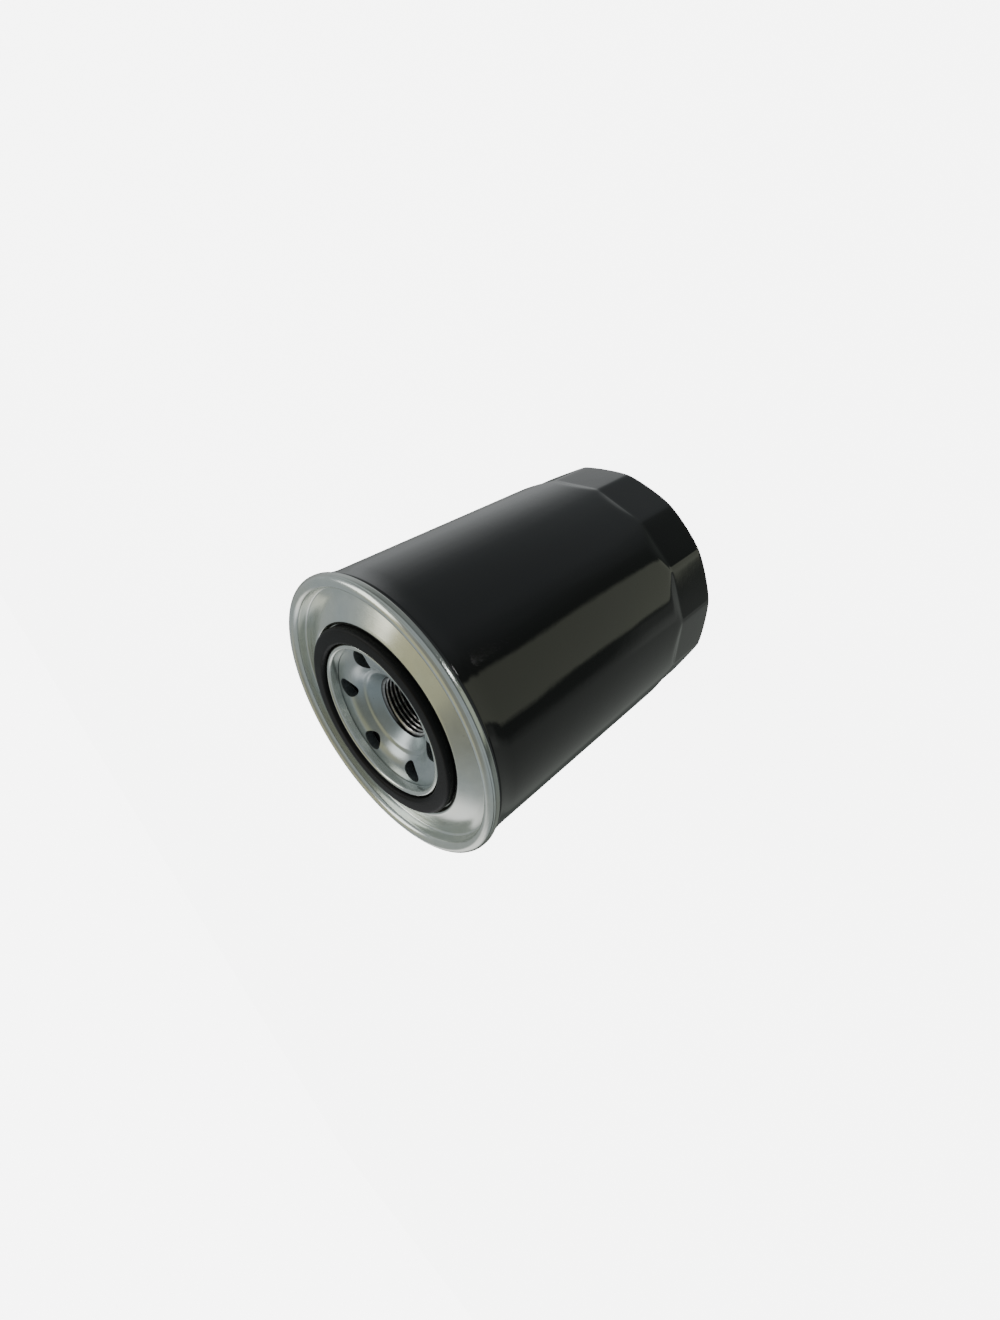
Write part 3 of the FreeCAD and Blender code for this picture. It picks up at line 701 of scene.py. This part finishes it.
def threadMaterial():
    # Cut steel, darker than the plate, with painted highlights on its crests and painted shade down in its roots.
    material, nodes, links, surface = newMaterial("cut thread")
    place = objectPlace(nodes)
    radius, height = radiusAndHeight(nodes, links, place)
    # Painted light by radius: a bright painted highlight on the crests, fading to painted shade in the thread's roots.
    crestHighlightRootShade = ramp(nodes, links, maths(nodes, links, "MULTIPLY", radius, 90), [(0.925, 0.62), (0.985, 0.07)])
    grain = noise(nodes, links, place, 900, 4, 0.6)
    shade = ramp(nodes, links, grain, [(0.3, 0.7), (0.7, 1.1)])
    links.new(mixColour(nodes, links, 1.0, crestHighlightRootShade, shade, "MULTIPLY"), surface.inputs["Base Color"])
    surface.inputs["Metallic"].default_value = 1.0
    surface.inputs["Roughness"].default_value = 0.28
    links.new(bump(nodes, links, grain, 0.05, 0.0001), surface.inputs["Normal"])
    return material


# Springs: round wire with closed ends, ground flat.
supportSpring = {"wire": 0.0022, "radius": 0.015, "turns": 4.2, "closed": 0.9}
bypassSpring = {"wire": 0.001, "radius": 0.0047, "turns": 6.4, "closed": 1.0}
springMesh = {"sides": 20, "stepsPerTurn": 48, "endHeight": 0.35, "closedPitch": 0.95}


def makeSpring(name, node, shape, body):
    # The wire's centre climbs by its own diameter in each closed end turn and evenly between.
    low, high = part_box(node)
    wire = shape["wire"]
    sides = springMesh["sides"]
    turn = np.linspace(0, shape["turns"], int(shape["turns"] * springMesh["stepsPerTurn"]))
    lift = high.z - low.z - 2 * wire * springMesh["endHeight"]
    ends = np.minimum(turn, shape["closed"]) + np.maximum(turn - shape["turns"] + shape["closed"], 0)
    active = turn - ends
    closedLift = wire * springMesh["closedPitch"]
    z = low.z + wire * springMesh["endHeight"] + ends * closedLift
    z = z + active / active[-1] * (lift - ends[-1] * closedLift)
    outward = np.stack((np.cos(2 * pi * turn), np.sin(2 * pi * turn), np.zeros_like(turn)), 1)
    centre = shape["radius"] * outward
    centre[:, 2] = z
    along = np.gradient(centre, axis=0)
    along /= np.linalg.norm(along, axis=1)[:, None]
    across = np.cross(along, outward)
    side = np.arange(sides) * 2 * pi / sides
    ring = (centre[:, None, :] + wire / 2 * (np.cos(side)[None, :, None] * outward[:, None, :]
                                             + np.sin(side)[None, :, None] * across[:, None, :]))
    ring[:, :, 2] = np.clip(ring[:, :, 2], low.z, high.z)
    corners = ring.reshape(-1, 3)
    quads = gridFaces(len(turn), sides, False)
    corners = np.vstack((corners, ring[0].mean(0), ring[-1].mean(0)))
    column = np.arange(sides)
    follow = (column + 1) % sides
    last = (len(turn) - 1) * sides
    first = np.stack((np.full(sides, len(corners) - 2), follow, column), 1)
    final = np.stack((np.full(sides, len(corners) - 1), last + column, last + follow), 1)
    quadsOut = facesOut(corners, quads)
    if quadsOut is not quads:
        quads, first, final = quadsOut, first[:, ::-1], final[:, ::-1]
    spring = addMesh(name, corners, quads.tolist() + first.tolist() + final.tolist(), 40)
    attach(spring, body)
    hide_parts(node)
    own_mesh(spring)
    return spring


# Anti-drain-back valve's flap: a thin rubber cone from the sleeve up to the sealing lip.
flapShape = {"thickness": 0.0012, "sag": 0.0006, "points": 14}


def makeDrainFlap():
    low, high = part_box("drain_valve_flap")
    inner = drainFlapInner(low)
    share = np.linspace(0, 1, flapShape["points"])
    half = flapShape["thickness"] / 2
    radius = inner + share * (high.x - inner)
    middle = low.z + half + share * (high.z - low.z - 2 * half)
    middle = middle - flapShape["sag"] * np.sin(pi * share)
    under = np.stack((radius, middle - half), 1)
    over = np.stack((radius, middle + half), 1)
    outline = np.concatenate((under, over[::-1]))
    flap = spin("drainFlap", outline, 96)
    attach(flap, "canister")
    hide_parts("drain_valve_flap")
    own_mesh(flap)
    return flap


def drainFlapInner(low):
    corners = np.array([v.co for v in frame["nodes"]["drain_valve_flap"].data.vertices])
    return float(np.hypot(corners[:, 0], corners[:, 1]).min())


# Materials for the pieces inside the can.

def steelMaterial(name, colour, roughness):
    material, nodes, links, surface = newMaterial(name)
    place = objectPlace(nodes)
    radius, height = radiusAndHeight(nodes, links, place)
    broad = noise(nodes, links, place, 60, 4)
    rings = ringNoise(nodes, links, radius, height, 1200)
    shade = ramp(nodes, links, broad, [(0.3, 0.8), (0.7, 1.08)])
    links.new(mixColour(nodes, links, 1.0, colour, shade, "MULTIPLY"), surface.inputs["Base Color"])
    surface.inputs["Metallic"].default_value = 1.0
    rough = maths(nodes, links, "MULTIPLY_ADD", broad, 0.2)
    rough.node.inputs[2].default_value = roughness - 0.1
    links.new(rough, surface.inputs["Roughness"])
    links.new(bump(nodes, links, rings, 0.1, 0.0002), surface.inputs["Normal"])
    return material


def paperMaterial():
    # Resin-soaked filter paper: fibres, and dimples pressed in rows along the pleats.
    material, nodes, links, surface = newMaterial("filter paper")
    place = objectPlace(nodes)
    fibres = noise(nodes, links, place, 700, 6, 0.7, 1.0)
    clouds = noise(nodes, links, place, 90, 3)
    colour = ramp(nodes, links, clouds, [(0.3, (0.62, 0.43, 0.17)), (0.7, (0.76, 0.58, 0.29))])
    shade = ramp(nodes, links, fibres, [(0.3, 0.82), (0.7, 1.06)])
    links.new(mixColour(nodes, links, 1.0, colour, shade, "MULTIPLY"), surface.inputs["Base Color"])
    surface.inputs["Roughness"].default_value = 0.85
    wave = nodes.new("ShaderNodeTexWave")
    wave.bands_direction = "Z"
    wave.inputs["Scale"].default_value = 320
    wave.inputs["Distortion"].default_value = 1.5
    links.new(place, wave.inputs["Vector"])
    ribs = bump(nodes, links, wave.outputs["Fac"], 0.2, 0.0003)
    links.new(bump(nodes, links, fibres, 0.35, 0.0001, ribs), surface.inputs["Normal"])
    return material


def resinMaterial(name, dark, light, roughness):
    material, nodes, links, surface = newMaterial(name)
    place = objectPlace(nodes)
    clouds = noise(nodes, links, place, 120, 4, 0.5, 0.5)
    ripples = noise(nodes, links, place, 300, 2)
    links.new(ramp(nodes, links, clouds, [(0.3, dark), (0.7, light)]), surface.inputs["Base Color"])
    surface.inputs["Roughness"].default_value = roughness
    surface.inputs["Subsurface Weight"].default_value = 0.1
    surface.inputs["Subsurface Scale"].default_value = 0.001
    links.new(bump(nodes, links, ripples, 0.3, 0.0003), surface.inputs["Normal"])
    return material


valveRubber = dict(rubber, colour=(0.02, 0.022, 0.022), roughness=0.38)
materials = {
    "enamel": enamelMaterial(),
    "zinc": zincMaterial("zinc plate", zinc),
    "plate_zinc": zincMaterial("plate zinc", plateZinc),
    "gasket_rubber": rubberMaterial("gasket rubber", rubber),
    "valve_rubber": rubberMaterial("valve rubber", valveRubber),
    "sealant": resinMaterial("seam sealant", (0.20, 0.16, 0.10), (0.36, 0.30, 0.20), 0.6),
    "bare_steel": steelMaterial("bare steel", (0.42, 0.42, 0.43), 0.4),
    "tin_steel": steelMaterial("tin-plated steel", (0.62, 0.62, 0.61), 0.3),
    "spring_steel": steelMaterial("spring steel", (0.22, 0.22, 0.23), 0.35),
    "filter_paper": paperMaterial(),
    "adhesive": resinMaterial("end cap adhesive", (0.35, 0.06, 0.04), (0.52, 0.12, 0.08), 0.45),
}
slots = {part["node"]: part["material_slot"] for part in frame["record"]["subparts"]}
for nodeName, nodeObject in frame["nodes"].items():
    nodeObject.data.materials.clear()
    nodeObject.data.materials.append(materials[slots[nodeName]])
print("materials made")

makeCan().data.materials.append(materials["enamel"])
print("can made")
makeSeamingLid().data.materials.append(materials["zinc"])
print("lid made")
makeGasket().data.materials.append(materials["gasket_rubber"])
print("gasket made")
makeBasePlate()
print("base plate made")
makeSpring("supportCoil", "support_spring", supportSpring, "canister").data.materials.append(materials["spring_steel"])
makeSpring("bypassCoil", "bypass_spring", bypassSpring, "element").data.materials.append(materials["spring_steel"])
makeDrainFlap().data.materials.append(materials["valve_rubber"])
print("springs and valve flap made")


# Stage: a pale floor, and a bright room that the enamel mirrors.
room = {
    "sky": (0.80, 0.87, 0.90),
    "skyStrength": 0.52,
    "dark": (0.09, 0.10, 0.093),
    "ceiling": (0.28, 0.28, 0.24),
    "wobble": 0.13,
    "backdrop": 7.0,
}
# Each light patch in the room: azimuth, elevation, half widths (degrees), softness, colour, strength.
roomPatches = [
    (140, -34, 26, 36, 44, (0.95, 0.97, 1.0), 0.46),
    (72, -40, 40, 26, 40, (0.70, 0.74, 0.80), 0.20),
    (-10, -42, 21, 26, 5, (0.80, 0.84, 0.66), 0.52),
    (-84, -42, 36, 30, 14, (0.84, 0.88, 0.82), 0.17),
    (-44, -58, 10, 12, 6, (0.84, 0.88, 0.82), 0.10),
    (23, -31, 3.2, 2.6, 1, (1.0, 1.0, 1.0), 14.0),
    (180, 66, 50, 20, 20, (1.0, 0.90, 0.40), 0.34),
    (228, 17, 16, 12, 14, (1.0, 0.97, 0.98), 1.2),
]


def makeRoom():
    world = bpy.data.worlds.new("room")
    world.use_nodes = True
    bpy.context.scene.world = world
    nodes, links = world.node_tree.nodes, world.node_tree.links
    nodes.clear()
    direction = nodes.new("ShaderNodeTexCoord").outputs["Generated"]
    parts = nodes.new("ShaderNodeSeparateXYZ")
    links.new(unevenDirection(nodes, links, direction), parts.inputs[0])
    azimuth = maths(nodes, links, "ARCTAN2", parts.outputs["Y"], parts.outputs["X"])
    elevation = maths(nodes, links, "ARCSINE", parts.outputs["Z"])
    total = skyColour(nodes, links, elevation)
    for patch in roomPatches:
        light = patchColour(nodes, links, azimuth, elevation, patch)
        total = mixColour(nodes, links, 1.0, total, light, "ADD")
    background = nodes.new("ShaderNodeBackground")
    links.new(total, background.inputs["Color"])
    backdrop = nodes.new("ShaderNodeBackground")
    backdrop.inputs["Color"].default_value = (1, 1, 1, 1)
    backdrop.inputs["Strength"].default_value = room["backdrop"]
    seen = nodes.new("ShaderNodeMixShader")
    links.new(nodes.new("ShaderNodeLightPath").outputs["Is Camera Ray"], seen.inputs[0])
    links.new(background.outputs[0], seen.inputs[1])
    links.new(backdrop.outputs[0], seen.inputs[2])
    links.new(seen.outputs[0], nodes.new("ShaderNodeOutputWorld").inputs[0])


def unevenDirection(nodes, links, direction):
    # The direction, pushed about a little by noise, so that the patches' edges aren't straight.
    push = nodes.new("ShaderNodeVectorMath")
    push.operation = "MULTIPLY_ADD"
    texture = nodes.new("ShaderNodeTexNoise")
    texture.inputs["Scale"].default_value = 7
    texture.inputs["Detail"].default_value = 3
    links.new(direction, texture.inputs["Vector"])
    links.new(texture.outputs["Color"], push.inputs[0])
    push.inputs[1].default_value = (room["wobble"],) * 3
    push.inputs[2].default_value = (-room["wobble"] / 2,) * 3
    total = nodes.new("ShaderNodeVectorMath")
    links.new(direction, total.inputs[0])
    links.new(push.outputs[0], total.inputs[1])
    level = nodes.new("ShaderNodeVectorMath")
    level.operation = "NORMALIZE"
    links.new(total.outputs[0], level.inputs[0])
    return level.outputs[0]


def skyColour(nodes, links, elevation):
    # Near dark below the horizon, soft light above it, dimmer again high up.
    sky = tuple(c * room["skyStrength"] for c in room["sky"])
    colour = room["dark"]
    for low, high, above in ((-4, 10, sky), (40, 58, room["ceiling"])):
        share = nodes.new("ShaderNodeMapRange")
        share.inputs["From Min"].default_value = radians(low)
        share.inputs["From Max"].default_value = radians(high)
        links.new(elevation, share.inputs["Value"])
        colour = mixColour(nodes, links, share.outputs[0], colour, above)
    return colour


def patchColour(nodes, links, azimuth, elevation, patch):
    # A soft-edged rectangle in azimuth and elevation.
    centre, height, halfWide, halfHigh, soft, colour, strength = patch
    away = maths(nodes, links, "SUBTRACT", azimuth, radians(centre))
    away = maths(nodes, links, "ABSOLUTE", maths(nodes, links, "PINGPONG", away, pi))
    masks = []
    for distance, half in ((away, halfWide),
                           (maths(nodes, links, "ABSOLUTE",
                                  maths(nodes, links, "SUBTRACT", elevation, radians(height))), halfHigh)):
        edge = nodes.new("ShaderNodeMapRange")
        edge.interpolation_type = "SMOOTHSTEP"
        edge.inputs["From Min"].default_value = radians(half + soft / 2)
        edge.inputs["From Max"].default_value = radians(max(half - soft / 2, 0))
        links.new(distance, edge.inputs["Value"])
        masks.append(edge.outputs[0])
    mask = maths(nodes, links, "MULTIPLY", masks[0], masks[1])
    return mixColour(nodes, links, mask, (0.0, 0.0, 0.0), tuple(c * strength for c in colour))


def makeFloor():
    half = 3.0
    corners = np.array([(-half, -half, 0), (half, -half, 0), (half, half, 0), (-half, half, 0)], float)
    floor = addMesh("floor", corners, [(0, 1, 2, 3)])
    material, nodes, links, surface = newMaterial("pale floor")
    surface.inputs["Base Color"].default_value = (0.9, 0.9, 0.9, 1)
    surface.inputs["Roughness"].default_value = 0.9
    surface.inputs["Specular IOR Level"].default_value = 0.0
    surface.inputs["Emission Color"].default_value = (1, 1, 1, 1)
    surface.inputs["Emission Strength"].default_value = 6.2
    floor.data.materials.append(material)
    floor.visible_glossy = False
    floor.visible_diffuse = False


def makeKeyLight():
    data = bpy.data.lights.new("keyLight", "AREA")
    data.energy = 2.2
    data.size = 0.5
    data.color = (1.0, 0.99, 0.96)
    light = bpy.data.objects.new("keyLight", data)
    bpy.context.scene.collection.objects.link(light)
    light.location = (-0.35, 0.55, 0.75)
    aim = Vector((0, 0, 0.08)) - light.location
    light.rotation_euler = aim.to_track_quat("-Z", "Y").to_euler()


makeRoom()
makeFloor()
makeKeyLight()
print("stage made")
